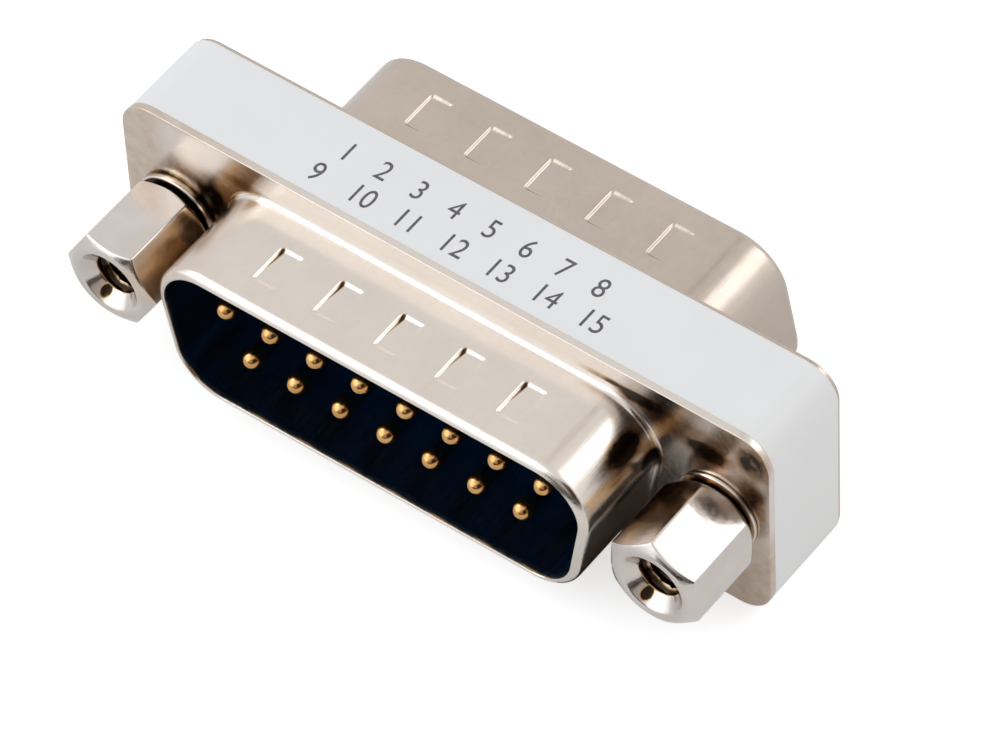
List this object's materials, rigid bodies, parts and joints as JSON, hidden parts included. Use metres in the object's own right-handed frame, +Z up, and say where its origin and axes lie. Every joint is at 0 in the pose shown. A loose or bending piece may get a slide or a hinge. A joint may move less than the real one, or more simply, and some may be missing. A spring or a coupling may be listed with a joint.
{
  "type": "d-sub gender changer",
  "caption": "Low-profile D-subminiature gender changer: two pin connectors back to back, with a wrap label and jack standoffs at the front.",
  "frame": {"origin": "middle of the underside, where the part stands on its long edge; the same point as the mount base_face", "axes": "+X along the length, to the right as seen from the front; +Y from the front mouth to the rear mouth; +Z up, towards the wide side of the front connector"},
  "size_m": [0.0397, 0.0176, 0.0126],
  "materials": {
    "nickel_plate": "satin-bright nickel plating over stamped steel",
    "bright_nickel": "bright nickel plating over turned brass",
    "navy_insulator": "glossy navy-black moulded plastic",
    "spacer_black": "matt black moulded plastic",
    "gold_plate": "bright gold plating",
    "white_label": "satin white coated label"
  },
  "bodies": {
    "root": {"front_shell": "nickel_plate", "rear_shell": "nickel_plate", "front_insulator": "navy_insulator", "rear_insulator": "navy_insulator", "spacer_frame": "spacer_black", "wrap_label": "white_label", "contact_01": "gold_plate", "contact_02": "gold_plate", "contact_03": "gold_plate", "contact_04": "gold_plate", "contact_05": "gold_plate", "contact_06": "gold_plate", "contact_07": "gold_plate", "contact_08": "gold_plate", "contact_09": "gold_plate", "contact_10": "gold_plate", "contact_11": "gold_plate", "contact_12": "gold_plate", "contact_13": "gold_plate", "contact_14": "gold_plate", "contact_15": "gold_plate", "left_standoff": "bright_nickel", "right_standoff": "bright_nickel", "left_washer": "bright_nickel", "right_washer": "bright_nickel", "left_bush": "bright_nickel", "right_bush": "bright_nickel"}
  },
  "joints": []
}
